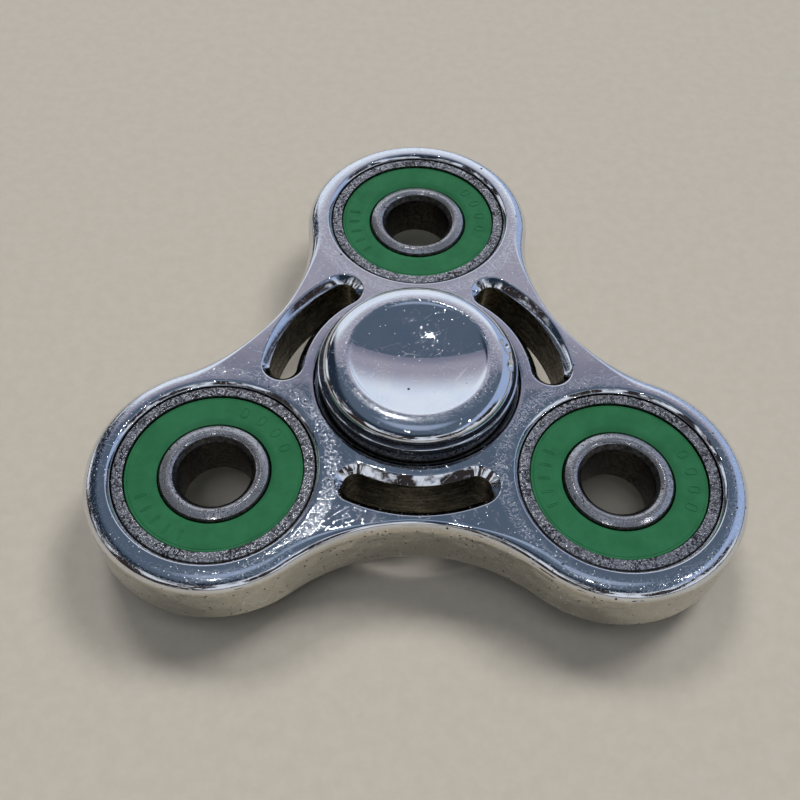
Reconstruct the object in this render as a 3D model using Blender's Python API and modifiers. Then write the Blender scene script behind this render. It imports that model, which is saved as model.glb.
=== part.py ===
"""A three-lobed fidget spinner: a cast frame that holds four ball bearings, and a finger cap on each side.

Lengths are in millimetres here and become metres in the objects. The origin is on the spin axis at half
thickness, +Z is the spin axis, and the first lobe points along +Y.
"""

import math

import bmesh
import bpy
from mathutils import Matrix, Vector

MM = 0.001
SHARP = math.radians(40)  # edges that turn more than this stay sharp where a piece is shaded smooth
AXIS_SIZE = 6.0  # how large an axis empty is drawn
SEGMENTS = 28  # sides of every turned piece, a multiple of four so that it keeps its full width on X and Y
FIT = 0.05  # gap between pieces that are pressed together or rest on each other

# Bearing: the common 22 x 8 x 7 size.
BEARING_R = 11.0
BORE_R = 4.0
HALF_WIDTH = 3.5
PITCH_R = 7.5
BALL_R = 3.969 / 2
BALLS = 7
OUTER_GROOVE_R = 2.13  # grooves are a little larger than the ball, as real ones are
INNER_GROOVE_R = 2.08
OUTER_GROOVE_DEG = 40.0  # half the groove's arc, from its bottom to the ring's land
INNER_GROOVE_DEG = 45.0
SEAL_SEAT_R = 9.65
SEAL_IN_R = 6.2
SEAL_RECESS = 0.25
SEAL_THICK = 0.6
RING_CHAMFER = 0.35
CAGE_IN_R = 6.6
CAGE_OUT_R = 8.4
CAGE_LOW = -1.2
CAGE_HIGH = 2.5
POCKET_R = 2.1
POCKET_SIDES = 16

# Frame: three lobes joined by hollow waists.
LOBE_ANGLES = {"a": 90.0, "b": 210.0, "c": 330.0}
ARM = 25.2  # spin axis to lobe axis
LOBE_R = 14.0
WAIST_R = 21.13
FRAME_HALF = 4.0
EDGE_ROUND = 1.6
SEAT_R = BEARING_R + FIT
LOBE_LIP = 0.35
HUB_LIP = 0.75

# Slots: one curved opening between each pair of lobes.
SLOT_R = 15.5
SLOT_HALF_WIDTH = 1.55
SLOT_HALF_DEG = 24.6
SLOT_CHAMFER = 0.95

CUT_OVER = 0.5  # how far a cutter runs past the face it cuts
CUT_OVERLAP = 0.05  # how far two cutters of one hole run into each other, so that they cross cleanly

# Finger caps, measured from mid thickness outwards.
CAP_R = 11.25
CAP_SHOULDER_R = 10.8
CAP_UNDERSIDE = 5.0
CAP_WALL_TOP = 6.0
CAP_SHOULDER = 6.55
CAP_TOP = 8.0
CAP_DISH = 6.85
CREST_IN_R = 7.9
CREST_OUT_R = 8.5
DISH_FLAT_R = 2.0
BOSS_R = 5.9
STEM_R = BORE_R - 2 * FIT
STEM_END = 0.1
STUD_R = 2.4
STUD_END = 3.3
SOCKET_R = 2.5
SOCKET_END = 3.6

COLOURS = {  # base colour, metallic, roughness
    "chrome": ((0.80, 0.81, 0.84), 1.0, 0.12),
    "bearing_steel": ((0.52, 0.50, 0.49), 1.0, 0.38),
    "ball_steel": ((0.75, 0.75, 0.76), 1.0, 0.10),
    "cage_steel": ((0.58, 0.57, 0.54), 1.0, 0.35),
    "seal_rubber": ((0.032, 0.145, 0.073), 0.0, 0.55),
}


def clear_scene():
    for obj in list(bpy.data.objects):
        bpy.data.objects.remove(obj, do_unlink=True)


def new_collection(name):
    collection = bpy.data.collections.new(name)
    bpy.context.scene.collection.children.link(collection)
    return collection


def material(name):
    found = bpy.data.materials.get(name)
    if found:
        return found
    colour, metallic, roughness = COLOURS[name]
    made = bpy.data.materials.new(name)
    made.use_nodes = True
    shader = made.node_tree.nodes["Principled BSDF"]
    shader.inputs["Base Color"].default_value = (*colour, 1.0)
    shader.inputs["Metallic"].default_value = metallic
    shader.inputs["Roughness"].default_value = roughness
    return made


def add_object(name, data, collection, slot=None, centre=(0.0, 0.0), turn=0.0, parent=None):
    """An object at a centre, which is measured from its parent where it has one."""
    obj = bpy.data.objects.new(name, data)
    obj.location = (centre[0] * MM, centre[1] * MM, 0.0)
    obj.rotation_euler.z = math.radians(turn)
    obj.parent = parent
    if slot:
        data.materials.append(material(slot))
    collection.objects.link(obj)
    return obj


def axis_empty(name, collection, centre=(0.0, 0.0), parent=None):
    """An empty on a joint's axis: the pieces that turn about the axis are its children."""
    empty = add_object(name, None, collection, centre=centre, parent=parent)
    empty.empty_display_size = AXIS_SIZE * MM
    return empty


def as_cutter(obj):
    obj.hide_render = True
    obj.display_type = "WIRE"
    return obj


def polar(radius, degrees, centre=(0.0, 0.0)):
    angle = math.radians(degrees)
    return centre[0] + radius * math.cos(angle), centre[1] + radius * math.sin(angle)


def arc(centre, radius, start, end, steps, ends=True):
    """Points from start to end degrees about a centre; without ends, the two end points are left out."""
    chosen = range(steps + 1) if ends else range(1, steps)
    return [polar(radius, start + (end - start) * i / steps, centre) for i in chosen]


def turned(name, profile, collection, slot=None, centre=(0.0, 0.0), parent=None):
    """A solid of revolution. profile is (radius, z) down the outer side; off the axis, it is a closed loop."""
    points = [(radius * MM, 0.0, z * MM) for radius, z in profile]
    edges = [(i, i + 1) for i in range(len(points) - 1)]
    if profile[0][0] > 0:
        edges.append((len(points) - 1, 0))
    mesh = bpy.data.meshes.new(name)
    mesh.from_pydata(points, edges, [])
    obj = add_object(name, mesh, collection, slot, centre, parent=parent)
    screw = obj.modifiers.new("turn", "SCREW")
    screw.steps = SEGMENTS
    screw.render_steps = SEGMENTS
    screw.use_merge_vertices = True
    screw.merge_threshold = 0.00001
    screw.use_smooth_shade = True
    return obj


def plate(name, outline, low, high, collection, slot=None, turn=0.0, chamfer=0.0, parent=None):
    """A flat outline given thickness, as a mesh; a chamfer makes it that much wider between its two faces."""
    curve = bpy.data.curves.new(name, "CURVE")
    curve.dimensions = "2D"
    curve.fill_mode = "BOTH"
    curve.extrude = ((high - low) / 2 - chamfer) * MM
    curve.bevel_depth = chamfer * MM
    curve.bevel_resolution = 0
    spline = curve.splines.new("POLY")
    spline.points.add(len(outline) - 1)
    for point, (x, y) in zip(spline.points, outline):
        point.co = (x * MM, y * MM, 0.0, 1.0)
    spline.use_cyclic_u = True
    drawn = bpy.data.objects.new(name + "_outline", curve)
    collection.objects.link(drawn)
    graph = bpy.context.evaluated_depsgraph_get()
    mesh = bpy.data.meshes.new_from_object(drawn.evaluated_get(graph))
    bpy.data.objects.remove(drawn)
    shape = bmesh.new()
    shape.from_mesh(mesh)
    bmesh.ops.remove_doubles(shape, verts=shape.verts, dist=0.000001)
    flat = math.radians(0.1)  # the fill's triangles become one face at each end
    bmesh.ops.dissolve_limit(shape, angle_limit=flat, verts=shape.verts, edges=shape.edges)
    bmesh.ops.translate(shape, verts=shape.verts, vec=(0.0, 0.0, (low + high) / 2 * MM))
    bmesh.ops.recalc_face_normals(shape, faces=shape.faces)
    shape.to_mesh(mesh)
    shape.free()
    mesh.shade_smooth()
    mesh.set_sharp_from_angle(angle=SHARP)
    mesh.name = name
    return add_object(name, mesh, collection, slot, turn=turn, parent=parent)


def cut(obj, cutters):
    """Takes every object of a collection away from obj."""
    boolean = obj.modifiers.new("cut", "BOOLEAN")
    boolean.operation = "DIFFERENCE"
    boolean.operand_type = "COLLECTION"
    boolean.collection = cutters


def frame_outline():
    """Three lobes and the three hollow waists that run into them without a corner."""
    waist_centre_r = ARM * math.cos(math.radians(60)) + math.sqrt(
        (LOBE_R + WAIST_R) ** 2 - (ARM * math.sin(math.radians(60))) ** 2
    )
    lobe_centre = Vector(polar(ARM, 90.0))
    waist_centre = Vector(polar(waist_centre_r, 30.0))
    to_lobe = lobe_centre - waist_centre
    touch = math.degrees(math.atan2(to_lobe.y, to_lobe.x))
    lobe_from = touch - 180.0  # the same contact, seen from the lobe, below the +X direction
    waist_half = 210.0 - touch
    points = []
    for angle in LOBE_ANGLES.values():
        turn = angle - 90.0
        centre = polar(ARM, angle)
        points.append(polar(LOBE_R, lobe_from + turn, centre))
        points += arc(centre, LOBE_R, turn, turn + 180.0, 18)
        points.append(polar(LOBE_R, 180.0 - lobe_from + turn, centre))
        waist_turn = angle + 60.0
        waist = polar(waist_centre_r, waist_turn)
        start = waist_turn + 180.0 + waist_half
        points += arc(waist, WAIST_R, start, start - 2 * waist_half, 12, ends=False)
    return points


def slot_outline(half_width):
    """A slot with round ends, bent about the spin axis and centred on -Y."""
    low, high = 270.0 - SLOT_HALF_DEG, 270.0 + SLOT_HALF_DEG
    points = arc((0.0, 0.0), SLOT_R + half_width, low, high, 8)
    points += arc(polar(SLOT_R, high), half_width, high, high + 180.0, 6, ends=False)
    points += arc((0.0, 0.0), SLOT_R - half_width, high, low, 8)
    points += arc(polar(SLOT_R, low), half_width, low + 180.0, low + 360.0, 6, ends=False)
    return points


def seat_profile(lip):
    """The hole for one bearing, with a chamfered lip at both faces."""
    return [
        (0.0, FRAME_HALF + CUT_OVER),
        (SEAT_R + lip + CUT_OVER, FRAME_HALF + CUT_OVER),
        (SEAT_R, FRAME_HALF - lip),
        (SEAT_R, -FRAME_HALF + lip),
        (SEAT_R + lip + CUT_OVER, -FRAME_HALF - CUT_OVER),
        (0.0, -FRAME_HALF - CUT_OVER),
    ]


def make_slot_cutters(index, turn, cutters):
    """The straight slot and the wider chamfer at each face, which starts a little inside the slot's wall."""
    name = f"slot_{index}"
    through = FRAME_HALF + CUT_OVER
    wide = SLOT_CHAMFER + CUT_OVERLAP + CUT_OVER
    face = FRAME_HALF - SLOT_CHAMFER - CUT_OVERLAP
    narrow = slot_outline(SLOT_HALF_WIDTH - CUT_OVERLAP)
    as_cutter(plate(name, slot_outline(SLOT_HALF_WIDTH), -through, through, cutters, turn=turn))
    as_cutter(plate(name + "_top", narrow, face, face + 2 * wide, cutters, turn=turn, chamfer=wide))
    as_cutter(plate(name + "_bottom", narrow, -face - 2 * wide, -face, cutters, turn=turn, chamfer=wide))


def make_frame(parts, cutters, spinner):
    frame = plate("frame", frame_outline(), -FRAME_HALF, FRAME_HALF, parts, "chrome", parent=spinner)
    edges = frame.modifiers.new("round_edges", "BEVEL")
    edges.width = EDGE_ROUND * MM
    edges.segments = 2
    edges.limit_method = "ANGLE"
    edges.angle_limit = math.radians(45)
    as_cutter(turned("hub_seat", seat_profile(HUB_LIP), cutters))
    for index, (lobe, angle) in enumerate(LOBE_ANGLES.items()):
        as_cutter(turned(f"lobe_{lobe}_seat", seat_profile(LOBE_LIP), cutters, centre=polar(ARM, angle)))
        make_slot_cutters(index, angle - 90.0, cutters)
    cut(frame, cutters)


def groove(radius, half_deg, outward):
    """Points down a ball groove; outward is 1 for the outer ring's groove and -1 for the inner ring's."""
    angles = [half_deg * (1 - 2 * step / 3) for step in range(4)]
    return [
        (PITCH_R + outward * radius * math.cos(math.radians(a)), radius * math.sin(math.radians(a)))
        for a in angles
    ]


def outer_ring_profile():
    race = groove(OUTER_GROOVE_R, OUTER_GROOVE_DEG, 1.0)
    land_r = race[0][0]
    shoulder = HALF_WIDTH - SEAL_RECESS - SEAL_THICK - FIT
    outside = [
        (BEARING_R - RING_CHAMFER, HALF_WIDTH),
        (BEARING_R, HALF_WIDTH - RING_CHAMFER),
        (BEARING_R, -HALF_WIDTH + RING_CHAMFER),
        (BEARING_R - RING_CHAMFER, -HALF_WIDTH),
    ]
    inside = [(SEAL_SEAT_R, -HALF_WIDTH), (SEAL_SEAT_R, -shoulder), (land_r, -shoulder)]
    inside += race[::-1]
    inside += [(land_r, shoulder), (SEAL_SEAT_R, shoulder), (SEAL_SEAT_R, HALF_WIDTH)]
    return outside + inside


def inner_ring_profile():
    race = groove(INNER_GROOVE_R, INNER_GROOVE_DEG, -1.0)
    land_r = race[0][0]
    outside = [(land_r - RING_CHAMFER, HALF_WIDTH), (land_r, HALF_WIDTH - RING_CHAMFER)]
    outside += race
    outside += [(land_r, -HALF_WIDTH + RING_CHAMFER), (land_r - RING_CHAMFER, -HALF_WIDTH)]
    bore = [
        (BORE_R + RING_CHAMFER, -HALF_WIDTH),
        (BORE_R, -HALF_WIDTH + RING_CHAMFER),
        (BORE_R, HALF_WIDTH - RING_CHAMFER),
        (BORE_R + RING_CHAMFER, HALF_WIDTH),
    ]
    return outside + bore


def seal_profile(side):
    outer_r = SEAL_SEAT_R - 2 * FIT
    high, low = HALF_WIDTH - SEAL_RECESS, HALF_WIDTH - SEAL_RECESS - SEAL_THICK
    if side < 0:
        high, low = -low, -high
    return [(outer_r, high), (outer_r, low), (SEAL_IN_R, low), (SEAL_IN_R, high)]


def ball_angle(index):
    return 90.0 + 360.0 * index / BALLS


def pocket_cutter(name, collection, centre):
    """Round pockets for the balls, bored straight through the cage from the outside."""
    shape = bmesh.new()
    length = CAGE_OUT_R - CAGE_IN_R + 4 * CUT_OVER
    for index in range(BALLS):
        x, y = polar(PITCH_R, ball_angle(index))
        place = Matrix.Translation((x * MM, y * MM, 0.0))
        place = place @ Matrix.Rotation(math.radians(ball_angle(index)), 4, "Z")
        place = place @ Matrix.Rotation(math.radians(90), 4, "Y")
        bmesh.ops.create_cone(
            shape,
            cap_ends=True,
            segments=POCKET_SIDES,
            radius1=POCKET_R * MM,
            radius2=POCKET_R * MM,
            depth=length * MM,
            matrix=place,
        )
    mesh = bpy.data.meshes.new(name)
    shape.to_mesh(mesh)
    shape.free()
    return as_cutter(add_object(name, mesh, collection, centre=centre))


def make_cage(name, parts, cutters, centre, axis):
    """centre places the pocket cutters; the cage itself sits on its axis empty."""
    profile = [
        (CAGE_OUT_R, CAGE_HIGH),
        (CAGE_OUT_R, CAGE_LOW),
        (CAGE_IN_R, CAGE_LOW),
        (CAGE_IN_R, CAGE_HIGH),
    ]
    cage = turned(name, profile, parts, "cage_steel", parent=axis)
    boolean = cage.modifiers.new("pockets", "BOOLEAN")
    boolean.operation = "DIFFERENCE"
    boolean.object = pocket_cutter(name + "_pockets", cutters, centre)


def make_balls(bearing, parts, axis):
    shape = bmesh.new()
    bmesh.ops.create_icosphere(shape, subdivisions=2, radius=BALL_R * MM)
    mesh = bpy.data.meshes.new("ball")
    shape.to_mesh(mesh)
    shape.free()
    mesh.shade_smooth()
    mesh.materials.append(material("ball_steel"))
    for index in range(BALLS):
        place = polar(PITCH_R, ball_angle(index))
        add_object(f"{bearing}_ball_{index + 1}", mesh, parts, centre=place, parent=axis)


def make_bearing(bearing, parts, cutters, centre, spinner, inner_axis):
    """The outer ring and the seals turn with the spinner, the inner ring stays on its own axis."""
    turned(f"{bearing}_outer_ring", outer_ring_profile(), parts, "bearing_steel", centre, spinner)
    turned(f"{bearing}_seal_top", seal_profile(1), parts, "seal_rubber", centre, spinner)
    turned(f"{bearing}_seal_bottom", seal_profile(-1), parts, "seal_rubber", centre, spinner)
    turned(f"{bearing}_inner_ring", inner_ring_profile(), parts, "bearing_steel", parent=inner_axis)
    cage_axis = axis_empty(f"{bearing}_cage_axis", parts, centre, inner_axis.parent)
    make_cage(f"{bearing}_cage", parts, cutters, centre, cage_axis)
    make_balls(bearing, parts, cage_axis)


def dish_height(radius):
    """A parabola from the flat middle of the finger dish up to the crest."""
    rise = (radius**2 - DISH_FLAT_R**2) / (CREST_IN_R**2 - DISH_FLAT_R**2)
    return CAP_DISH + (CAP_TOP - CAP_DISH) * rise


def cap_outside():
    """The cap's visible side from the dish at the axis out and down to its underside and boss."""
    thirds = [DISH_FLAT_R + (CREST_IN_R - DISH_FLAT_R) * step / 3 for step in range(4)]
    dish = [(0.0, CAP_DISH)] + [(radius, dish_height(radius)) for radius in thirds]
    shoulder = [
        (
            CREST_OUT_R + (CAP_SHOULDER_R - CREST_OUT_R) * math.sin(angle),
            CAP_SHOULDER + (CAP_TOP - CAP_SHOULDER) * math.cos(angle),
        )
        for angle in (math.radians(degrees) for degrees in (0, 30, 60, 90))
    ]
    side = [
        (CAP_R, CAP_WALL_TOP),
        (CAP_R, CAP_UNDERSIDE),
        (BOSS_R, CAP_UNDERSIDE),
        (BOSS_R, HALF_WIDTH + FIT),
        (STEM_R, HALF_WIDTH + FIT),
    ]
    return dish + shoulder + side


def upside_down(profile):
    return [(radius, -z) for radius, z in reversed(profile)]


def make_caps(parts, hub):
    """The two caps clamp the hub bearing's inner ring: the lower cap's stud screws into the upper one."""
    socket = [(STEM_R, STEM_END), (SOCKET_R, STEM_END), (SOCKET_R, SOCKET_END), (0.0, SOCKET_END)]
    stud = [(STEM_R, STEM_END), (STUD_R, STEM_END), (STUD_R, -STUD_END), (0.0, -STUD_END)]
    turned("top_cap", cap_outside() + socket, parts, "chrome", parent=hub)
    turned("bottom_cap", upside_down(cap_outside() + stud), parts, "chrome", parent=hub)


def main():
    clear_scene()
    parts = new_collection("fidget_spinner")
    frame_cutters = new_collection("frame_cutters")
    cage_cutters = new_collection("cage_cutters")
    hub = axis_empty("hub_axis", parts)
    spinner = axis_empty("spin_axis", parts, parent=hub)
    make_frame(parts, frame_cutters, spinner)
    make_bearing("hub", parts, cage_cutters, (0.0, 0.0), spinner, hub)
    for lobe, angle in LOBE_ANGLES.items():
        centre = polar(ARM, angle)
        inner_axis = axis_empty(f"lobe_{lobe}_axis", parts, centre, spinner)
        make_bearing(f"lobe_{lobe}", parts, cage_cutters, centre, spinner, inner_axis)
    make_caps(parts, hub)


main()
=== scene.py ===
"""The looks of the fidget spinner: worn chrome, speckled bearing steel and moulded rubber over the model.

Lengths are in millimetres here and become metres in the meshes.
"""

import math

import bmesh
import bpy
import numpy as np
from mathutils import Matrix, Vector

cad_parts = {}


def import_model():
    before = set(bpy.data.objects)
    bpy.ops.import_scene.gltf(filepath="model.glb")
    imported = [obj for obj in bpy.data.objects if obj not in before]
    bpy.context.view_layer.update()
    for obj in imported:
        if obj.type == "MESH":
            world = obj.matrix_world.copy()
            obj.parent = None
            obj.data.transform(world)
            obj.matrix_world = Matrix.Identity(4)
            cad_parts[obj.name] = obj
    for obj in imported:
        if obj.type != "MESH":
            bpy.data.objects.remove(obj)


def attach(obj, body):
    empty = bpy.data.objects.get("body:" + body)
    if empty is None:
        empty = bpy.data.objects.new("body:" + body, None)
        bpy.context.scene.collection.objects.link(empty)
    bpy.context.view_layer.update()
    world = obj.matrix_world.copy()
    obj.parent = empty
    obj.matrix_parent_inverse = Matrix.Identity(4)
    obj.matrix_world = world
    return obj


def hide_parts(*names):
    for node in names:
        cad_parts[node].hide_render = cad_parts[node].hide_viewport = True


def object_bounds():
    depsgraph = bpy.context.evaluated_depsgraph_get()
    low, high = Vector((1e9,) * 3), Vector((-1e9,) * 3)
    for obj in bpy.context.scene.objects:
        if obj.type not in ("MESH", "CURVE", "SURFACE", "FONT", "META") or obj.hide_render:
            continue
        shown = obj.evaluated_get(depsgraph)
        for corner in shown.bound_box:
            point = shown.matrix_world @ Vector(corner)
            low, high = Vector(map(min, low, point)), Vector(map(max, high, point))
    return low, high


MM = 0.001
FIRST_LOBE = 90.0
HALF_PITCH = 60.0  # degrees from a lobe to the next waist
LOBES = {"a": 90.0, "b": 210.0, "c": 330.0}
SPIN_AXIS = (0.0, 0.0)

CAM_LOCATION = (-0.0030, -0.0684, 0.0991)
CAM_TURN_DEG = (34.35, -1.07, 0.63)
CAM_NEAREST_M = 0.005
LENS_MM = 46.25
SENSOR_MM = 36.0

ROUND_STEPS = 5  # points along each rounded corner
TURNED_SIDES = 180
SHARP_DEG = 38.0  # edges that turn more than this stay sharp


# ---------------------------------------------------------------- shapes


def polar(radius, degrees, centre=SPIN_AXIS):
    angle = math.radians(degrees)
    return centre[0] + radius * math.cos(angle), centre[1] + radius * math.sin(angle)


def rounded(corners, closed=False, steps=ROUND_STEPS):
    """A profile from (r, z) or (r, z, rounding) corners: a rounding is the length cut off along both sides."""
    count = len(corners)
    points = []
    for i, corner in enumerate(corners):
        here = np.array(corner[:2], float)
        cut = corner[2] if len(corner) > 2 else 0.0
        if cut == 0.0 or (not closed and i in (0, count - 1)):
            points.append(tuple(here))
            continue
        before = np.array(corners[i - 1][:2], float) - here
        after = np.array(corners[(i + 1) % count][:2], float) - here
        start = here + before / np.linalg.norm(before) * cut
        end = here + after / np.linalg.norm(after) * cut
        for t in np.linspace(0.0, 1.0, steps):
            points.append(tuple((1 - t) ** 2 * start + 2 * t * (1 - t) * here + t * t * end))
    return points


def reflected(upper):
    """The same corners in z = 0, in the opposite order."""
    return [(r, -z, *rest) for r, z, *rest in reversed(upper)]


def smooth_step(share):
    """0 to 1 with a soft start and end, for a share that is held between them."""
    share = min(max(share, 0.0), 1.0)
    return share * share * (3.0 - 2.0 * share)


def new_object(name, data):
    """An object of this data, in the scene."""
    made = bpy.data.objects.new(name, data)
    bpy.context.scene.collection.objects.link(made)
    return made


def new_piece(name, shape, body, nodes, look, dark=None, dark_where=None):
    """Makes a bmesh in millimetres a smooth piece that stands for its CAD nodes.

    Where dark_where(x, y, z) is true of a face's middle, the face takes the dark material.
    """
    bmesh.ops.recalc_face_normals(shape, faces=shape.faces)
    if dark:
        for face in shape.faces:
            face.material_index = int(dark_where(*face.calc_center_median()))
    bmesh.ops.scale(shape, verts=shape.verts, vec=(MM, MM, MM))
    mesh = bpy.data.meshes.new(name)
    shape.to_mesh(mesh)
    shape.free()
    mesh.shade_smooth()
    mesh.set_sharp_from_angle(angle=math.radians(SHARP_DEG))
    mesh.materials.append(look)
    if dark:
        mesh.materials.append(dark)
    piece = new_object(name, mesh)
    weighted = piece.modifiers.new("even_normals", "WEIGHTED_NORMAL")
    weighted.keep_sharp = True
    weighted.weight = 100
    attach(piece, body)
    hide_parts(*nodes)


def bridge(shape, first, second):
    """Quads between two closed rings of the same number of points."""
    count = len(first)
    for i in range(count):
        j = (i + 1) % count
        shape.faces.new((first[i], first[j], second[j], second[i]))


def turned(profile, centre=SPIN_AXIS, sides=TURNED_SIDES):
    """A bmesh of a profile turned about Z. A profile that starts on the axis is a solid, any other a ring."""
    shape = bmesh.new()
    solid = profile[0][0] == 0.0
    angles = [2 * math.pi * i / sides for i in range(sides)]
    rings = []
    for r, z in profile:
        if r == 0.0:
            points = [(*centre, z)]
        else:
            points = [(centre[0] + r * math.cos(a), centre[1] + r * math.sin(a), z) for a in angles]
        rings.append([shape.verts.new(point) for point in points])
    pairs = list(zip(rings, rings[1:]))
    if not solid:
        pairs.append((rings[-1], rings[0]))
    for first, second in pairs:
        if len(first) == 1 or len(second) == 1:
            tip, ring = (first[0], second) if len(first) == 1 else (second[0], first)
            for i in range(sides):
                shape.faces.new((tip, ring[i], ring[(i + 1) % sides]))
        else:
            bridge(shape, first, second)
    return shape


# ---------------------------------------------------------------- frame

ARM = 25.2  # from the spin axis to a lobe's axis
LOBE_R, LOBE_POINTS = 14.0, 100
WAIST_R, WAIST_POINTS = 21.13, 34
WAIST_CENTRE_R = 40.13
FRAME_HALF = 4.0  # half its thickness
SEAT_R, SEAT_SIDES = 11.05, 160
SLOT_R = 15.5
SLOT_HALF_WIDTH = 1.55
SLOT_HALF_DEG = 24.6
SLOT_MIDDLE_DEG = 270.0
SLOT_SIDE_POINTS, SLOT_END_POINTS = 40, 22

WAISTS_END_R, BLEND_LENGTH = 19.0, 8.0  # from the spin axis: the edge's rounding grows over this length
EDGE_STEPS = 11
EDGES = (  # side, depth of the rounding, how far it reaches in at the waists, how much farther on the lobes
    (1.0, 1.65, 0.68, 1.30),
    (-1.0, 0.95, 0.60, 0.55),
)
HUB_LIP, LOBE_LIP = (0.75, 0.75, 0.26), (0.35, 0.42, 0.10)  # width, depth, rounding
SLOT_LIP = (0.90, 0.95, 0.09)
DARK_HALF, DARK_BEYOND_SLOT = 3.1, 0.2  # the walls inside the slots and the hub, short of their polished lips: these walls take a dark painted shade


def frame_outline():
    """Points and outward directions round the frame: convex lobes that run into hollow waists."""
    first_waist = FIRST_LOBE - HALF_PITCH
    across = Vector(polar(ARM, FIRST_LOBE)) - Vector(polar(WAIST_CENTRE_R, first_waist))
    touch = math.degrees(math.atan2(across.y, across.x))
    waist_half = 180.0 + first_waist - touch
    found = []
    for angle in LOBES.values():
        turn, centre = angle - FIRST_LOBE, polar(ARM, angle)
        for a in np.linspace(touch - 180.0, 360.0 - touch, LOBE_POINTS)[:-1]:
            found.append((polar(LOBE_R, a + turn, centre), polar(1.0, a + turn)))
        waist = angle + HALF_PITCH
        centre = polar(WAIST_CENTRE_R, waist)
        for a in np.linspace(waist_half, -waist_half, WAIST_POINTS)[:-1]:
            direction = waist + 180.0 + a
            found.append((polar(WAIST_R, direction, centre), polar(-1.0, direction)))
    return found


def edge_rings(outline, side, depth, waist_inset, lobe_inset):
    """(points, z) over one rounded edge of the outline, from the flat face to the side wall."""
    rings = []
    for a in np.radians(np.linspace(0.0, 90.0, EDGE_STEPS)):
        reach = 1.0 - math.sin(a)
        points = []
        for (x, y), (out_x, out_y) in outline:
            inset = waist_inset + lobe_inset * smooth_step((math.hypot(x, y) - WAISTS_END_R) / BLEND_LENGTH)
            points.append((x - out_x * inset * reach, y - out_y * inset * reach))
        rings.append((points, side * (FRAME_HALF - depth * (1.0 - math.cos(a)))))
    return rings


def slot_outline(half_width):
    """A slot with round ends, bent about the spin axis and centred on -Y."""
    low, high = SLOT_MIDDLE_DEG - SLOT_HALF_DEG, SLOT_MIDDLE_DEG + SLOT_HALF_DEG
    along = np.linspace(low, high, SLOT_SIDE_POINTS)
    half_turn = np.linspace(0.0, 180.0, SLOT_END_POINTS)[1:-1]
    points = [polar(SLOT_R + half_width, a) for a in along]
    points += [polar(half_width, high + a, polar(SLOT_R, high)) for a in half_turn]
    points += [polar(SLOT_R - half_width, a) for a in along[::-1]]
    points += [polar(half_width, low + 180.0 + a, polar(SLOT_R, low)) for a in half_turn]
    return points


def turn_points(points, degrees):
    c, s = math.cos(math.radians(degrees)), math.sin(math.radians(degrees))
    return [(c * x - s * y, s * x + c * y) for x, y in points]


def hole_profile(lip, depth, soften):
    """(offset, z) down the wall of a hole, with a chamfered and softened lip at both faces."""
    corners = [
        (lip + 2.5 * soften, FRAME_HALF),
        (lip, FRAME_HALF, soften),
        (0.0, FRAME_HALF - depth, soften),
        (0.0, 0.0),
    ]
    half = rounded(corners)[:-1]
    return half + reflected(half)


# The faces of the slot and hub walls, which take the dark painted shade.
def inside_slot_or_hub(x, y, z):
    return math.hypot(x, y) < SLOT_R + SLOT_HALF_WIDTH + DARK_BEYOND_SLOT and abs(z) < DARK_HALF


def make_frame(look, dark):
    shape = bmesh.new()
    top_edges, bottom_edges = [], []

    def ring_edges(ring):
        return [shape.edges.get((ring[i], ring[(i + 1) % len(ring)])) for i in range(len(ring))]

    def loft(outlines):
        """A strip of faces down (points, z) outlines, whose first and last bound the flat faces."""
        rings = [[shape.verts.new((x, y, z)) for x, y in points] for points, z in outlines]
        for first, second in zip(rings, rings[1:]):
            bridge(shape, first, second)
        top_edges.extend(ring_edges(rings[0]))
        bottom_edges.extend(ring_edges(rings[-1]))

    def seat(centre, lip):
        turns = [360.0 * i / SEAT_SIDES for i in range(SEAT_SIDES)]
        loft([([polar(SEAT_R + off, a, centre) for a in turns], z) for off, z in hole_profile(*lip)])

    upper, lower = [edge_rings(frame_outline(), *edge) for edge in EDGES]
    loft(upper + lower[::-1])
    seat(SPIN_AXIS, HUB_LIP)
    for angle in LOBES.values():
        seat(polar(ARM, angle), LOBE_LIP)
        slot = [(slot_outline(SLOT_HALF_WIDTH + off), z) for off, z in hole_profile(*SLOT_LIP)]
        loft([(turn_points(points, angle - FIRST_LOBE), z) for points, z in slot])
    bmesh.ops.triangle_fill(shape, use_beauty=True, edges=top_edges, normal=(0, 0, 1))
    bmesh.ops.triangle_fill(shape, use_beauty=True, edges=bottom_edges, normal=(0, 0, -1))
    new_piece("frame_cast", shape, "spinner", ["frame"], look, dark, inside_slot_or_hub)


# ---------------------------------------------------------------- caps

CAP_SIDES = 240
DISH_LOW, DISH_RISE, DISH_R = 6.85, 1.02, 7.6
DISH_END = 7.5  # where the dish runs into the crest
CREST_Z = 8.0
SHOULDER_R, SHOULDER_Z = 8.25, 6.50  # the centre of the shoulder's ellipse
SHOULDER_HALF_R, SHOULDER_HALF_Z = 2.50, 1.50
CAP_SIDE = (  # r, z, rounding: the step under the shoulder and the flange
    (10.76, 6.46, 0.06),
    (10.60, 6.40, 0.03),
    (10.60, 6.20, 0.05),
    (11.08, 6.14, 0.04),
    (11.25, 6.00, 0.07),
    (11.25, 5.02, 0.10),
    (11.08, 5.00),
)
CAP_DARK = (  # over and under these z, within this r: the step, the flange's wall and the underside, which take a painted shade
    (6.13, 6.42, 11.15),
    (5.10, 5.92, 11.50),
    (-1.0, 5.01, 11.10),
)
CAP_UNDER = ((5.95, 5.0), (5.90, 4.95), (5.90, 3.55), (3.9, 3.55))
CAP_SOCKET = ((3.9, 0.1), (2.5, 0.1), (2.5, 3.6), (0.0, 3.6))
CAP_STUD = ((3.9, 0.1), (2.4, 0.1), (2.4, -3.3), (0.0, -3.3))
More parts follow.
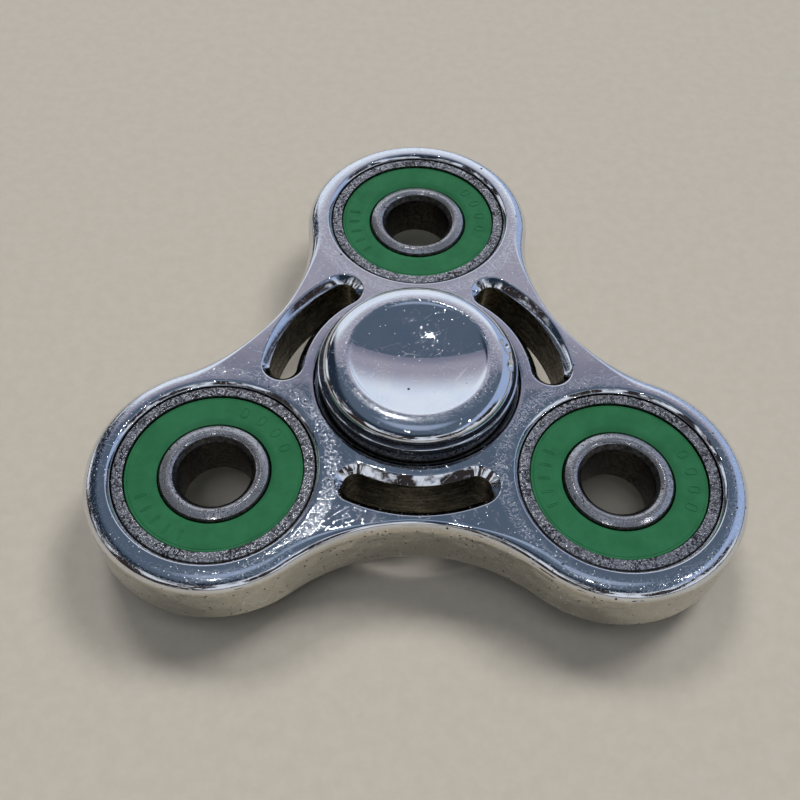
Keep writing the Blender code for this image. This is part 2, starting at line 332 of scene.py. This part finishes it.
CAP_DENTS = (  # place, radius, depth, direction
    ((9.85, 2.3, 7.50), 0.85, 0.60, (0.3, 0.5, 0.8)),
    ((10.05, 1.3, 7.45), 0.60, 0.40, (0.9, -0.5, 0.4)),
    ((10.45, -0.7, 7.15), 0.85, 0.60, (0.9, 0.3, 0.5)),
)


def cap_profile(inside):
    """The cap from its dish at the axis, over the crest and down its stepped side, then to its stem."""
    dish = [(r, DISH_LOW + DISH_RISE * (r / DISH_R) ** 2) for r in np.linspace(0.0, DISH_END, 24)]
    shoulder = [
        (SHOULDER_R + SHOULDER_HALF_R * math.sin(a), SHOULDER_Z + SHOULDER_HALF_Z * math.cos(a))
        for a in np.radians(np.linspace(12.0, 86.0, 16))
    ]
    crest = rounded([dish[-1], (7.86, CREST_Z, 0.28), (SHOULDER_R, CREST_Z), shoulder[0]], steps=8)[1:-1]
    side = rounded([shoulder[-1], *CAP_SIDE], steps=4)[1:]
    return dish + crest + shoulder + side + [*CAP_UNDER, *inside]


def cap_recess(x, y, z):
    """The cap's faces that take the dark painted shade, but not their bright edges."""
    r, height = math.hypot(x, y), abs(z)
    return any(low < height < high and r < reach for low, high, reach in CAP_DARK)


def dent(shape, centre, radius, depth, direction):
    """Pushes in the points near one spot, as a knock does."""
    spot, push = Vector(centre), Vector(direction).normalized()
    for vert in shape.verts:
        vert.co -= push * depth * smooth_step(1.0 - (vert.co - spot).length / radius)


def make_caps(look, dark):
    top = turned(cap_profile(CAP_SOCKET), sides=CAP_SIDES)
    for knock in CAP_DENTS:
        dent(top, *knock)
    new_piece("upper_cap", top, "hub", ["top_cap"], look, dark, cap_recess)
    bottom = turned([(r, -z) for r, z in cap_profile(CAP_STUD)], sides=CAP_SIDES)
    new_piece("lower_cap", bottom, "hub", ["bottom_cap"], look, dark, cap_recess)


# ---------------------------------------------------------------- bearings

RING_HALF = 3.5  # half a bearing's width
OUTER_RACE, INNER_RACE = (2.06, 39.0), (2.03, 44.0)  # a groove's radius and half its angle
RACE_POINTS = 15
OUTER_R, BORE_R = 11.0, 4.0
OUTER_BRIGHT, INNER_BRIGHT = (9.72, 10.86), (4.52, 5.74)  # a ring's steel takes a dark painted shade outside these radii, at its bore and its edges
PITCH_R = 7.5
BALL_R = 1.9845
BALLS = 7
SEAL_CORNERS = (  # r, z, rounding
    (9.57, 2.65),
    (6.20, 2.65),
    (6.14, 2.96, 0.08),
    (6.75, 3.22, 0.25),
    (9.22, 3.25, 0.05),
    (9.32, 3.17, 0.05),
    (9.42, 3.24, 0.05),
    (9.57, 3.20, 0.06),
)

MARK_TURN = {"a": 15.0, "b": 47.0, "c": 0.0}
MARK_R, MARK_Z, MARK_HALF_LENGTH = 8.05, 3.245, 0.62
MARK_ARCS = (  # the arc's middle, half the width of its marks, where they are on it
    (0.0, 0.36, (-24.0, -8.0, 8.0, 24.0)),
    (180.0, 0.12, (-24.0, -12.0, 0.0, 12.0, 24.0)),
)
BEAD_HALF_HEIGHT, BEAD_HALF_WIDTH, BEAD_SIDES = 0.06, 0.09, 8

CAGE_COLUMNS = 168
CAGE_RADII = (6.6, 6.9, 8.1, 8.4)
CAGE_TOP, CLAW_LOW, CAGE_ROUNDING = 2.5, -1.2, 0.06
POCKET_R = 2.1
CLAW_START, CLAW_WIDTH = 1.70, 0.45  # from the pocket's middle


def groove(radius, half_deg, outward):
    """Points down a ball groove; outward is 1 for the outer ring and -1 for the inner ring."""
    angles = np.radians(np.linspace(half_deg, -half_deg, RACE_POINTS))
    return [(PITCH_R + outward * radius * math.cos(a), radius * math.sin(a)) for a in angles]


def outer_ring_profile():
    race = groove(*OUTER_RACE, 1.0)
    land = race[0][0]
    upper = [(land, 2.6), (9.66, 2.6), (9.66, RING_HALF, 0.10), (OUTER_R, RING_HALF, 0.34)]
    return rounded([(OUTER_R, 0.0)] + reflected(upper) + race[::-1] + upper, closed=True)


def inner_ring_profile():
    race = groove(*INNER_RACE, -1.0)
    land = race[0][0]
    upper = [(BORE_R, 2.70, 0.10), (4.68, 3.42, 0.28), (5.12, RING_HALF, 0.24), (land, 3.10, 0.25)]
    return rounded([(BORE_R, 0.0)] + upper + race + reflected(upper), closed=True)


def outside(centre, low, high):
    """A test for a point nearer an upright axis than low, or farther from it than high."""
    return lambda x, y, z: not low <= math.hypot(x - centre[0], y - centre[1]) <= high


def bead(shape, path):
    """A closed rounded bead along a path of (x, y, z) points."""
    rings = []
    count = len(path)
    for i, point in enumerate(path):
        along = Vector(path[(i + 1) % count]) - Vector(path[i - 1])
        across = Vector((0, 0, 1)).cross(along).normalized()
        ring = []
        for k in range(BEAD_SIDES):
            a = 2 * math.pi * k / BEAD_SIDES
            rise = Vector((0, 0, BEAD_HALF_HEIGHT * math.sin(a)))
            ring.append(shape.verts.new(Vector(point) + across * BEAD_HALF_WIDTH * math.cos(a) + rise))
        rings.append(ring)
    for i in range(count):
        bridge(shape, rings[i], rings[(i + 1) % count])


def oval(degrees, half_width, z, centre):
    """A small upright oval on the marks' circle about a bearing's axis, as a closed path."""
    cx, cy = polar(MARK_R, degrees, centre)
    radial, tangent = Vector(polar(1.0, degrees)), Vector(polar(1.0, degrees + 90.0))
    path = []
    for end, start in ((1, -90.0), (-1, 90.0)):
        for a in np.radians(np.linspace(start, start + 180.0, 7)):
            out = end * (MARK_HALF_LENGTH - half_width) + half_width * math.cos(a)
            side = half_width * math.sin(a)
            path.append((cx + radial.x * out + tangent.x * side, cy + radial.y * out + tangent.y * side, z))
    return path


def add_marks(shape, side, turn, centre):
    """Plain raised ovals and bars in two arcs, where a seal has its moulded marks."""
    for middle, half_width, steps in MARK_ARCS:
        for step in steps:
            bead(shape, oval(turn + middle + step, half_width, side * MARK_Z, centre))


def cage_low(r, offset):
    """The cage's lower edge at one radius: round the top of a ball, and a claw between two."""
    aside = abs(r * math.sin(math.radians(offset)))
    over_ball = math.sqrt(POCKET_R ** 2 - aside ** 2) if aside < POCKET_R else 0.0
    claw = min(max((aside - CLAW_START) / CLAW_WIDTH, 0.0), 1.0)
    return over_ball * (1.0 - claw) + CLAW_LOW * claw


def make_cage(name, body, nodes, centre, look):
    """A pressed crown cage: a band with a rounded pocket for every ball."""
    shape = bmesh.new()
    rings = []
    for i in range(CAGE_COLUMNS):
        turn = 360.0 * i / CAGE_COLUMNS
        offset = (i % (CAGE_COLUMNS // BALLS)) * 360.0 / CAGE_COLUMNS
        offset = min(offset, 360.0 / BALLS - offset)
        high, low = [], []
        for r in CAGE_RADII:
            cut = CAGE_ROUNDING if r in (CAGE_RADII[0], CAGE_RADII[-1]) else 0.0
            place = polar(r, FIRST_LOBE + turn, centre)
            high.append((*place, CAGE_TOP - cut))
            low.append((*place, max(cage_low(r, offset), CLAW_LOW) + cut))
        rings.append([shape.verts.new(point) for point in high + low[::-1]])
    for i in range(CAGE_COLUMNS):
        bridge(shape, rings[i], rings[(i + 1) % CAGE_COLUMNS])
    new_piece(name, shape, body, nodes, look)


def make_ball(name, body, node, place, look):
    shape = bmesh.new()
    bmesh.ops.create_uvsphere(shape, u_segments=32, v_segments=20, radius=BALL_R)
    bmesh.ops.translate(shape, verts=shape.verts, vec=(*place, 0.0))
    new_piece(name, shape, body, [node], look)


def make_bearing(bearing, centre, outer_body, inner_body, cage_body, marks_turn, looks):
    rings = (
        ("outer", outer_ring_profile(), outer_body, "steel", OUTER_BRIGHT),
        ("inner", inner_ring_profile(), inner_body, "worn", INNER_BRIGHT),
    )
    for word, profile, body, look, bright in rings:
        ring = turned(profile, centre)
        name, nodes = f"{bearing}_race_{word}", [f"{bearing}_{word}_ring"]
        dull_where = outside(centre, *bright)
        new_piece(name, ring, body, nodes, looks[look], looks["dull"], dull_where)
    for side, word in ((1, "top"), (-1, "bottom")):
        seal = turned(rounded([(r, side * z, *rest) for r, z, *rest in SEAL_CORNERS], closed=True), centre)
        add_marks(seal, side, marks_turn, centre)
        nodes = [f"{bearing}_seal_{word}"]
        new_piece(f"{bearing}_rubber_{word}", seal, outer_body, nodes, looks["rubber"])
    make_cage(f"{bearing}_crown", cage_body, [f"{bearing}_cage"], centre, looks["cage"])
    for i in range(BALLS):
        place = polar(PITCH_R, FIRST_LOBE + 360.0 * i / BALLS, centre)
        make_ball(f"{bearing}_bead_{i + 1}", cage_body, f"{bearing}_ball_{i + 1}", place, looks["ball"])


# ---------------------------------------------------------------- nodes


class Nodes:
    """A node tree that calls put together, and the coordinates that its patterns are drawn in."""

    def __init__(self, tree, coordinates):
        self.tree = tree
        self.place = self.add("ShaderNodeTexCoord").outputs[coordinates]

    def add(self, kind, **settings):
        node = self.tree.nodes.new(kind)
        for key, value in settings.items():
            setattr(node, key, value)
        return node

    def fill(self, socket, value):
        """Links another node's output to the socket, or gives it a plain value."""
        if isinstance(value, bpy.types.NodeSocket):
            self.tree.links.new(value, socket)
        else:
            socket.default_value = value

    def put(self, node, **values):
        """Fills a node's inputs by their names, with _ for a space."""
        for name, value in values.items():
            self.fill(node.inputs[name.replace("_", " ")], value)
        return node

    def math(self, operation, first, second=0.0, clamp=False):
        node = self.add("ShaderNodeMath", operation=operation, use_clamp=clamp)
        self.fill(node.inputs[0], first)
        self.fill(node.inputs[1], second)
        return node.outputs["Value"]

    def times(self, product, *values):
        for value in values:
            product = self.math("MULTIPLY", product, value)
        return product

    def most(self, best, *values):
        """The largest of several values."""
        for value in values:
            best = self.math("MAXIMUM", best, value)
        return best

    def vector(self, operation, *values):
        node = self.add("ShaderNodeVectorMath", operation=operation)
        for socket, value in zip(node.inputs, values):
            self.fill(socket, value)
        return node.outputs["Value" if operation in ("LENGTH", "DOT_PRODUCT") else "Vector"]

    def parts(self, vector):
        """The vector's X, Y and Z."""
        split = self.put(self.add("ShaderNodeSeparateXYZ"), Vector=vector)
        return [split.outputs[axis] for axis in "XYZ"]

    def ramp(self, value, low, high, start=0.0, end=1.0):
        """Maps low..high to start..end, smoothly and clamped."""
        node = self.add("ShaderNodeMapRange", interpolation_type="SMOOTHSTEP")
        self.put(node, Value=value, From_Min=low, From_Max=high, To_Min=start, To_Max=end)
        return node.outputs["Result"]

    def mix(self, share, first, second):
        """A colour between two, each a socket or an (r, g, b) tuple."""
        node = self.add("ShaderNodeMix", data_type="RGBA")
        self.put(node, Factor=share)
        for socket, colour in zip((node.inputs[6], node.inputs[7]), (first, second)):
            self.fill(socket, (*colour, 1.0) if isinstance(colour, tuple) else colour)
        return node.outputs[2]

    def noise(self, scale, detail=2.0, rough=0.5, at=None, distort=0.0):
        node = self.add("ShaderNodeTexNoise")
        self.put(node, Vector=at or self.place, Scale=scale, Detail=detail)
        self.put(node, Roughness=rough, Distortion=distort)
        return node.outputs["Fac"]


class Look(Nodes):
    """A material that is put together from procedural nodes, with its coordinates in millimetres."""

    def __init__(self, name):
        self.material = bpy.data.materials.new(name)
        self.material.use_nodes = True
        super().__init__(self.material.node_tree, "Object")
        self.shader = self.tree.nodes["Principled BSDF"]
        self.place = self.stretched((1.0 / MM, 1.0 / MM, 1.0 / MM))

    def stretched(self, scale, turn_deg=0.0):
        """Coordinates turned about Z and stretched, for marks that run one way."""
        node = self.put(self.add("ShaderNodeMapping"), Vector=self.place, Scale=scale)
        node.inputs["Rotation"].default_value = (0.0, 0.0, math.radians(turn_deg))
        return node.outputs["Vector"]

    def slope(self):
        """The Z part of the surface's direction: 1 on a level face, 0 on an upright one."""
        return self.parts(self.add("ShaderNodeTexCoord").outputs["Normal"])[2]

    def round_band(self, centre, radius, reach):
        """1 along a circle about an upright axis and 0 beyond reach to each side of it."""
        offset = self.vector("SUBTRACT", self.place, (*centre, 0.0))
        from_axis = self.vector("LENGTH", self.vector("MULTIPLY", offset, (1.0, 1.0, 0.0)))
        return self.ramp(self.math("ABSOLUTE", self.math("SUBTRACT", from_axis, radius)), reach, 0.3 * reach)

    def cells(self, per_mm):
        """(distance to the nearest point, a random value for its cell)"""
        node = self.put(self.add("ShaderNodeTexVoronoi"), Vector=self.place, Scale=per_mm)
        split = self.put(self.add("ShaderNodeSeparateColor"), Color=node.outputs["Color"])
        return node.outputs["Distance"], split.outputs["Red"]

    def spots(self, per_mm, edge, core, share):
        """Round spots in a share of random cells: 1 within core and 0 beyond edge, as parts of a cell."""
        distance, chance = self.cells(per_mm)
        return self.times(self.ramp(distance, edge, core), self.math("LESS_THAN", chance, share))

    def strokes(self, per_mm, length, width, share, shift):
        """Short straight scratches that run every way: 1 on a scratch, 0 elsewhere.

        Space is cut in random cells, and a share of them hold a thin random plane, which the surface cuts.
        """
        place = self.vector("ADD", self.place, (shift, 2.0 * shift, 0.5 * shift))
        middle = self.put(self.add("ShaderNodeTexVoronoi"), Vector=place, Scale=per_mm).outputs["Position"]
        chance = self.put(self.add("ShaderNodeTexWhiteNoise", noise_dimensions="3D"), Vector=middle)
        from_middle = self.vector("SUBTRACT", place, middle)
        across = self.vector("NORMALIZE", self.vector("SUBTRACT", chance.outputs["Color"], (0.5, 0.5, 0.5)))
        off = self.math("ABSOLUTE", self.vector("DOT_PRODUCT", from_middle, across))
        line = self.ramp(off, width, 0.3 * width)
        ends = self.ramp(self.vector("LENGTH", from_middle), length, 0.6 * length)
        return self.times(line, ends, self.math("LESS_THAN", chance.outputs["Value"], share))

    def mottled(self, first, second, *noise, soft=0.15):
        """Two colours in patches; soft is how softly they meet."""
        return self.mix(self.ramp(self.noise(*noise), 0.5 - soft, 0.5 + soft), first, second)

    def uneven(self, low, high, *noise):
        """A value that wanders from low to high over the surface."""
        return self.ramp(self.noise(*noise), 0.3, 0.7, low, high)

    def bump(self, height, distance_mm, after=None):
        node = self.put(self.add("ShaderNodeBump"), Height=height, Strength=1.0, Distance=distance_mm * MM)
        if after:
            self.put(node, Normal=after)
        return node.outputs["Normal"]

    def finish(self, base, **inputs):
        """The material, with its shader's inputs filled by their names."""
        self.put(self.shader, Base_Color=base, **inputs)
        return self.material


# ---------------------------------------------------------------- materials

SCRATCH_KINDS = (  # cells per mm, length, width, share of the cells
    (0.40, 1.50, 0.028, 0.60),
    (0.80, 0.80, 0.024, 0.50),
    (1.50, 0.40, 0.024, 0.40),
    (2.60, 0.20, 0.028, 0.30),
)
RUB_KINDS = (  # as above, then a shift that keeps them off the others
    (2.60, 0.26, 0.050, 0.85, 7.0),
    (4.00, 0.15, 0.040, 0.80, 9.0),
)
SPECKS = (3.2, 0.22, 0.08, 0.30)  # spots: cells per mm, edge, core, share of the cells
PIT_SPOTS, DUST_SPOTS = (0.95, 0.16, 0.08), (1.8, 0.16, 0.06)
SIDE_PITS = (1.4, 0.20, 0.09, 0.50)

PLATE = (0.80, 0.81, 0.84), (0.74, 0.77, 0.83)
# the upright faces' darker yellow tint: a painted reflection of shaded wood
SIDE_REFLECTION_TINT = (0.60, 0.575, 0.505), (0.53, 0.505, 0.435)
SCRATCHED, PIT, DUST = (0.93, 0.95, 0.99), (0.10, 0.09, 0.08), (0.62, 0.64, 0.68)
# colours of the painted shade on the walls inside the slots and the hub
SLOT_SHADE = (0.27, 0.245, 0.18), (0.12, 0.105, 0.07)
# colours of the painted shade on the cap's step, flange wall and underside
CAP_PAINTED_SHADE = (0.085, 0.085, 0.095), (0.045, 0.045, 0.05)
OXIDE, RUST = (0.05, 0.046, 0.046), (0.13, 0.06, 0.035)
# colours of the painted shade in the rings' bores and at their edges
RING_EDGE_SHADE = (0.115, 0.105, 0.095), (0.04, 0.036, 0.03)
RUBBER, RUBBER_DUST = ((0.019, 0.120, 0.050), (0.026, 0.146, 0.064)), (0.30, 0.36, 0.32)
PRESSED = (0.60, 0.58, 0.55), (0.45, 0.43, 0.40)
POLISHED = (0.78, 0.78, 0.80), (0.70, 0.70, 0.72)
FLOOR = (0.485, 0.45, 0.39), (0.515, 0.48, 0.42)


def plating_wear(look, wear, near, dull):
    """Crossing scratches and specks in patches, and fine rubbing of at least dull where near is 1."""
    lines = look.most(*[look.strokes(*kind, shift) for shift, kind in enumerate(SCRATCH_KINDS)])
    patches = look.ramp(look.noise(0.16, 3.0, 0.6), 0.34, 0.60, 0.30 * wear, wear)
    marks = look.times(look.most(lines, look.spots(*SPECKS)), patches)
    fine = look.most(*[look.strokes(*kind) for kind in RUB_KINDS])
    return look.most(marks, look.times(near, look.math("ADD", fine, dull, clamp=True)))


def sides_with_painted_reflection(look, tint, rough, pitted, normal):
    """Gives the upright faces a darker, yellower tint that is a painted reflection of shaded wood, and the
    waves, roughness and many pits of thin plating.
    """
    side = look.ramp(look.math("ABSOLUTE", look.slope()), 0.45, 0.12)
    # painted reflection: upright faces take a darker, yellower tint
    tint = look.mix(side, tint, look.mottled(*SIDE_REFLECTION_TINT, 0.5, 5.0, 0.7))
    rough = look.most(rough, look.times(side, 0.06))
    pitted = look.most(pitted, look.times(look.spots(*SIDE_PITS), side))
    normal = look.bump(look.times(look.noise(0.35, 3.0, 0.55), side), 0.16, after=normal)
    return tint, rough, pitted, normal


def chrome(name, wave, wear, pits, dust_share, rubbed, centres, rough_sides=False):
    """Bright plating over a casting: slow waves, fine scratches that cross, dust, specks and a few pits.

    rubbed is a radius about each of the centres, how far to each side the plating is rubbed, and how dull.
    """
    look = Look(name)
    radius, reach, dull = rubbed
    near = look.most(*[look.round_band(centre, radius, reach) for centre in centres])
    worn = plating_wear(look, wear, near, dull)
    dust = look.spots(*DUST_SPOTS, look.math("ADD", look.times(near, 0.45), dust_share))
    pitted = look.spots(*PIT_SPOTS, pits)
    haze = look.ramp(look.noise(0.5, 5.0, 0.65), 0.35, 0.75, 0.01, 0.03)
    rough = look.math("ADD", haze, look.times(worn, 0.24))
    tint = look.mottled(*PLATE, 0.3, 2.0)
    normal = look.bump(look.noise(0.22, 1.0), 0.05 * wave)
    normal = look.bump(look.noise(1.6, 2.0), 0.004 * wave, after=normal)
    normal = look.bump(look.noise(7.0, 2.0), 0.0004, after=normal)
    if rough_sides:
        tint, rough, pitted, normal = sides_with_painted_reflection(look, tint, rough, pitted, normal)
    rough = look.most(rough, look.times(look.most(pitted, dust), 0.7))
    for share, colour in ((worn, SCRATCHED), (pitted, PIT), (dust, DUST)):
        tint = look.mix(share, tint, colour)
    normal = look.bump(worn, -0.004, after=normal)
    normal = look.bump(pitted, -0.06, after=normal)
    return look.finish(tint, Roughness=rough, Normal=normal, Metallic=look.math("SUBTRACT", 1.0, dust))


def painted_shade_plating(name, light, dark):
    """Dull plating streaked along the casting, darkened as painted shade for the walls inside the slots and
    the hub and for the cap's recessed faces.
    """
    look = Look(name)
    ridges = look.noise(1.0, at=look.stretched((0.25, 0.25, 3.2)))
    base = look.mottled(light, dark, 0.8, 5.0, 0.7)
    base = look.mix(look.ramp(ridges, 0.56, 0.64), base, tuple(1.5 * part for part in light))
    rough = look.uneven(0.20, 0.36, 2.0, 4.0, 0.6)
    normal = look.bump(look.noise(5.0, 3.0), 0.012, after=look.bump(ridges, 0.10))
    return look.finish(base, Roughness=rough, Normal=normal, Metallic=1.0)


def bearing_steel(name, clean, bright, relief):
    """Ground steel that has gone speckled: light grains, dark oxide and traces of rust.

    clean is how much of it the oxide leaves alone, bright the tone of that part, relief its roughness in mm.
    """
    look = Look(name)
    broad = look.ramp(look.noise(0.7, 3.0, 0.6), 0.40, 0.62)
    dark = look.ramp(look.noise(4.4, 4.0, 0.75), clean, clean + 0.07)
    dark = look.times(dark, look.math("ADD", look.times(broad, 0.4), 0.6))
    rust = look.times(look.ramp(look.noise(2.3, 4.0, 0.7), 0.57, 0.67), broad)
    base = look.mix(dark, (bright, bright, 1.06 * bright), OXIDE)
    base = look.mix(rust, base, RUST)
    rough = look.most(look.math("ADD", look.times(dark, 0.25), 0.17), look.times(rust, 0.6))
    normal = look.bump(look.noise(4.5, 3.0), relief, after=look.bump(dark, -1.7 * relief))
    return look.finish(base, Roughness=rough, Normal=normal, Metallic=look.ramp(dark, 0.0, 1.0, 0.76, 1.0))


def shaded_edge_steel():
    """Bearing steel darkened as painted shade: a ring's bore and its edges beside the seal and the frame."""
    look = Look("ring_edge_painted_shade")
    normal = look.bump(look.noise(1.0, at=look.stretched((0.4, 0.4, 7.0))), 0.01)
    rough = look.uneven(0.30, 0.50, 4.0, 3.0)
    return look.finish(look.mottled(*RING_EDGE_SHADE, 2.2, 4.0, 0.65), Roughness=rough, Normal=normal, Metallic=1.0)


def seal_rubber():
    """Matte moulded rubber, faintly mottled, with dust in its skin."""
    look = Look("moulded_rubber")
    distance, chance = look.cells(4.0)
    dust = look.times(look.ramp(distance, 0.16, 0.05), look.ramp(chance, 0.80, 0.84), 0.35)
    base = look.mix(dust, look.mottled(*RUBBER, 0.45, 4.0, 0.6, soft=0.2), RUBBER_DUST)
    rough = look.uneven(0.52, 0.68, 1.2, 4.0, 0.6)
    normal = look.bump(look.noise(1.0), 0.015, after=look.bump(look.noise(14.0, 3.0, 0.6), 0.006))
    return look.finish(base, Roughness=rough, Normal=normal, Specular_IOR_Level=0.3)


def cage_steel():
    look = Look("pressed_steel")
    rough = look.uneven(0.28, 0.42, 3.0, 3.0)
    normal = look.bump(look.noise(6.0), 0.01)
    return look.finish(look.mottled(*PRESSED, 1.5, 4.0), Roughness=rough, Normal=normal, Metallic=1.0)


def ball_steel():
    """Polished steel with short fine scratches in one direction."""
    look = Look("polished_steel")
    streaks = look.noise(1.0, 1.0, at=look.stretched((1.0 / 1.5, 14.0, 1.0), 30.0), distort=0.15)
    normal = look.bump(look.ramp(streaks, 0.70, 0.735), 0.003)
    rough = look.uneven(0.05, 0.12, 4.0, 3.0)
    base = look.mottled(*POLISHED, 0.8, soft=0.1)
    return look.finish(base, Roughness=rough, Normal=normal, Metallic=1.0)


# ---------------------------------------------------------------- studio

FLOOR_HALF_M = 3.0

CEILING, OVERHEAD = (0.092, 0.125, 0.175), (0.33, 0.40, 0.53)
WALL_TOP, WALL, GLOW = (0.23, 0.23, 0.30), (0.375, 0.36, 0.43), (0.80, 0.87, 0.97)
DARK_SIDE, SIDE_LIGHT, GROUND = (0.018, 0.028, 0.045), (0.36, 0.46, 0.68), (0.28, 0.26, 0.21)
FURNITURE, WINDOWS = (0.035, 0.028, 0.028), (0.72, 0.76, 0.82)
AMBIENT, BACKDROP = (0.115, 0.115, 0.12), (0.49, 0.46, 0.41)

LAMP_DISTANCE_M = 1.4
LAMPS = (  # direction, size in metres, watts
    ((-0.045, 0.41, 0.91), 0.030, 0.38),
    ((-0.15, 0.19, 0.97), 0.012, 0.02),
    ((-0.08, -0.42, 0.88), 0.040, 0.40),
    ((0.58, -0.22, 0.79), 0.040, 0.40),
)
SUNS = (  # name, direction, how wide it looks in degrees, strength, colour
    ("soft_key", (-0.10, 0.30, 0.55), 15.0, 0.92, (1.0, 0.98, 0.95)),
    ("soft_side", (0.25, 0.22, 0.50), 18.0, 1.50, (1.0, 0.98, 0.95)),
    ("soft_fill", (-0.15, -0.20, 1.10), 36.0, 0.52, (0.93, 0.96, 1.0)),
)


def make_floor(height):
    shape = bmesh.new()
    bmesh.ops.create_grid(shape, x_segments=1, y_segments=1, size=FLOOR_HALF_M)
    mesh = bpy.data.meshes.new("floor")
    shape.to_mesh(mesh)
    shape.free()
    floor = new_object("floor", mesh)
    floor.location.z = height
    look = Look("pale_floor")
    mesh.materials.append(look.finish(look.mottled(*FLOOR, 0.6, 5.0, 0.6, soft=0.2), Roughness=0.5))


def room_tones(room):
    """What the metal mirrors: a bright wall ahead, a dark ceiling, and furniture and windows low down."""
    x, y, z = room.parts(room.place)
    ahead = room.math("SUBTRACT", room.times(y, 1.43), z)  # 0 where the wall meets the ceiling
    colour = room.mix(room.ramp(ahead, -0.01, 0.015), CEILING, WALL_TOP)
    colour = room.mix(room.ramp(ahead, 0.02, 0.16), colour, WALL)
    colour = room.mix(room.ramp(ahead, 0.22, 0.60), colour, GLOW)
    left = room.math("ADD", room.times(x, -1.0), room.times(y, -0.6))
    colour = room.mix(room.times(room.ramp(left, 0.0, 0.15), room.ramp(z, 0.85, 0.70)), colour, DARK_SIDE)
    colour = room.mix(room.times(room.ramp(z, 0.93, 0.99), room.ramp(y, 0.13, -0.02)), colour, OVERHEAD)
    right = room.math("SUBTRACT", room.times(x, 1.3), z)
    colour = room.mix(room.ramp(right, 0.0, 0.15), colour, SIDE_LIGHT)
    near_floor = room.mix(room.ramp(room.noise(3.2, 3.0), 0.47, 0.56), FURNITURE, WINDOWS)
    behind = room.times(room.ramp(z, 0.62, 0.54), room.ramp(y, 0.10, -0.05))
    beside = room.times(room.ramp(z, 0.36, 0.30), room.ramp(x, -0.50, -0.60))
    colour = room.mix(room.most(behind, beside), colour, near_floor)
    colour = room.mix(room.ramp(z, 0.10, 0.05), colour, FURNITURE)
    return room.mix(room.ramp(z, 0.02, -0.02), colour, GROUND)


def make_world():
    """The metal mirrors a room, while everything else gets an even light and a plain backdrop."""
    world = bpy.data.worlds.new("room")
    bpy.context.scene.world = world
    world.use_nodes = True
    room = Nodes(world.node_tree, "Generated")
    colour = room_tones(room)
    rays = room.add("ShaderNodeLightPath")
    colour = room.mix(rays.outputs["Is Diffuse Ray"], colour, AMBIENT)
    colour = room.mix(rays.outputs["Is Camera Ray"], colour, BACKDROP)
    room.put(world.node_tree.nodes["Background"], Color=colour)


def add_light(name, kind, direction, distance, **settings):
    """A light that shines on the object from a direction, at a distance in metres."""
    data = bpy.data.lights.new(name, kind)
    for key, value in settings.items():
        setattr(data, key, value)
    light = new_object(name, data)
    towards = Vector(direction).normalized()
    light.location = towards * distance
    light.rotation_euler = (-towards).to_track_quat("-Z", "Y").to_euler()
    return light


def make_lights():
    """Soft suns light the scene without being mirrored, and small lamps are there for the metal to mirror."""
    for name, direction, degrees, strength, colour in SUNS:
        wide = math.radians(degrees)
        sun = add_light(name, "SUN", direction, 0.0, angle=wide, energy=strength, color=colour)
        sun.visible_glossy = False
    for i, (direction, size, watts) in enumerate(LAMPS):
        add_light(f"lamp_{i + 1}", "AREA", direction, LAMP_DISTANCE_M, shape="DISK", size=size, energy=watts)


def make_camera():
    data = bpy.data.cameras.new("camera")
    data.lens = LENS_MM
    data.sensor_width = SENSOR_MM
    data.clip_start = CAM_NEAREST_M
    camera = new_object("camera", data)
    camera.location = CAM_LOCATION
    camera.rotation_euler = tuple(math.radians(a) for a in CAM_TURN_DEG)
    bpy.context.scene.camera = camera


def as_lists(box):
    return [list(corner) for corner in box]


def main():
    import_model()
    cad_box = as_lists(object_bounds())
    make_camera()
    lobe_centres = [polar(ARM, angle) for angle in LOBES.values()]
    looks = {
        "frame": chrome(
            "plated_casting", wave=0.55, wear=1.0, pits=0.10, dust_share=0.28,
            rubbed=(12.7, 1.15, 0.16), centres=lobe_centres, rough_sides=True,
        ),
        "cap": chrome(
            "plated_cap", wave=0.25, wear=0.75, pits=0.05, dust_share=0.30,
            rubbed=(8.45, 1.05, 0.30), centres=[SPIN_AXIS],
        ),
        "steel": bearing_steel("speckled_steel", clean=0.47, bright=0.58, relief=0.035),
        "worn": bearing_steel("handled_steel", clean=0.55, bright=0.41, relief=0.009),
        "dull": shaded_edge_steel(),
        "rubber": seal_rubber(),
        "cage": cage_steel(),
        "ball": ball_steel(),
    }
    make_frame(looks["frame"], painted_shade_plating("slot_and_hub_painted_shade", *SLOT_SHADE))
    make_caps(looks["cap"], painted_shade_plating("cap_painted_shade", *CAP_PAINTED_SHADE))
    make_bearing("hub", SPIN_AXIS, "spinner", "hub", "hub_cage", 0.0, looks)
    for lobe, angle in LOBES.items():
        bodies = ("spinner", f"lobe_{lobe}_inner", f"lobe_{lobe}_cage")
        make_bearing(f"lobe_{lobe}", polar(ARM, angle), *bodies, MARK_TURN[lobe], looks)
    make_floor(cad_box[0][2])
    make_world()
    make_lights()
    bpy.context.scene.view_settings.view_transform = "Standard"


main()
